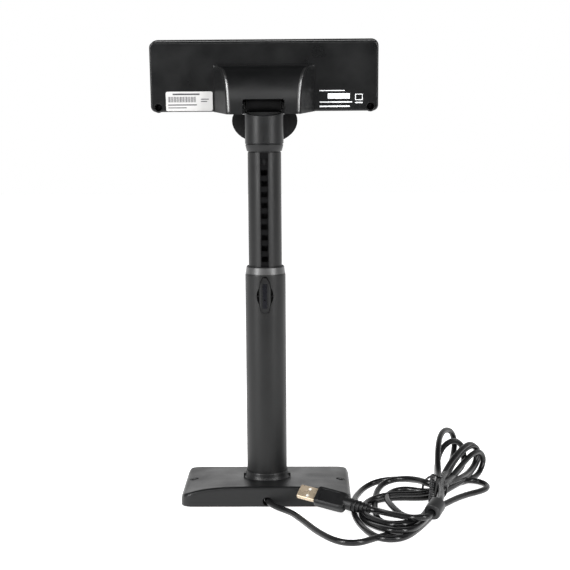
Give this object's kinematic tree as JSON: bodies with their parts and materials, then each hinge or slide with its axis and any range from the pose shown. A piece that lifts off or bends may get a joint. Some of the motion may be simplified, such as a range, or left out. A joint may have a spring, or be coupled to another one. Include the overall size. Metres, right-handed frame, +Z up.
{
  "type": "customer pole display",
  "caption": "Customer display on a telescopic pole with a swivelling, tilting two-line head, a low weighted base and a coiled lead with a plug.",
  "frame": {"origin": "on the pole's axis at the underside of the base's pads, which is the middle of the base", "axes": "+Z up the pole; +Y the way the screen faces; +X to the right seen from the rear; the lead leaves towards -Y"},
  "size_m": [0.3016, 0.209, 0.4024],
  "materials": {
    "black_plastic": "satin moulded ABS",
    "tube_plastic": "fine satin",
    "dark_plastic": "satin",
    "steel": "zinc plated",
    "black_steel": "black oxide",
    "foam": "foam tape with a red liner",
    "smoked": "smoked acrylic",
    "lcd": "display glass",
    "light_guide": "milky acrylic",
    "board": "solder mask",
    "chip": "epoxy",
    "white_plastic": "natural nylon",
    "label": "silver-white film",
    "cord": "soft PVC",
    "plug_metal": "nickel-plated steel",
    "tie": "plastic-coated wire"
  },
  "bodies": {
    "base": {"adhesive_pad_left": "foam", "adhesive_pad_right": "foam", "base_cover": "black_plastic", "base_screw_left": "black_steel", "base_screw_right": "black_steel", "cord_lead": "cord", "cord_link": "cord", "cord_lobes": "cord", "cord_loops": "cord", "cord_tail": "cord", "ferrite_bead": "dark_plastic", "foot_collar": "black_plastic", "foot_screw_1": "steel", "foot_screw_2": "steel", "foot_screw_3": "steel", "guide_bush": "dark_plastic", "latch_pin": "steel", "lower_tube": "tube_plastic", "plug_body": "cord", "plug_shell": "plug_metal", "plug_tongue": "white_plastic", "pole_foot": "dark_plastic", "twist_tie": "tie", "weight_plate": "steel"},
    "latch": {"latch_button": "dark_plastic"},
    "mast": {"upper_tube": "tube_plastic", "swivel_ring": "black_plastic", "swivel_spindle": "dark_plastic", "swivel_clip": "steel"},
    "neck": {"neck": "black_plastic", "hinge_shield": "dark_plastic", "shield_screw_left": "black_steel", "shield_screw_right": "black_steel"},
    "head": {"rear_shell": "black_plastic", "front_bezel": "black_plastic", "head_screw_left": "black_steel", "head_screw_right": "black_steel", "board_screw_1": "steel", "board_screw_2": "steel", "board_screw_3": "steel", "board_screw_4": "steel", "display_window": "smoked", "lcd_glass": "lcd", "lcd_backlight": "light_guide", "lcd_frame": "black_steel", "display_board": "board", "controller_board": "board", "controller_chip": "chip", "board_header": "chip", "cord_connector": "white_plastic", "tilt_bracket": "steel", "bracket_screw_left": "steel", "bracket_screw_right": "steel", "friction_washer_left": "dark_plastic", "friction_washer_right": "dark_plastic", "tilt_pin": "steel", "tilt_nut": "steel", "rating_label": "label"}
  },
  "joints": [
    {"name": "pole_height", "type": "slide", "parent": "base", "child": "mast", "axis": [0, 0, 1], "range_m": [-0.0932, 0.0373]},
    {"name": "latch_press", "type": "hinge", "parent": "base", "child": "latch", "pos_m": [0, -0.01515, 0.1798], "axis": [1, 0, 0], "range_deg": [0, 9], "stiffness_Nm_per_rad": 0.2},
    {"name": "head_swivel", "type": "hinge", "parent": "mast", "child": "neck", "pos_m": [0, 0, 0.3109], "axis": [0, 0, 1], "range_deg": [-165, 165]},
    {"name": "head_tilt", "type": "hinge", "parent": "neck", "child": "head", "pos_m": [0, 0, 0.346], "axis": [1, 0, 0], "range_deg": [-6, 22]}
  ]
}
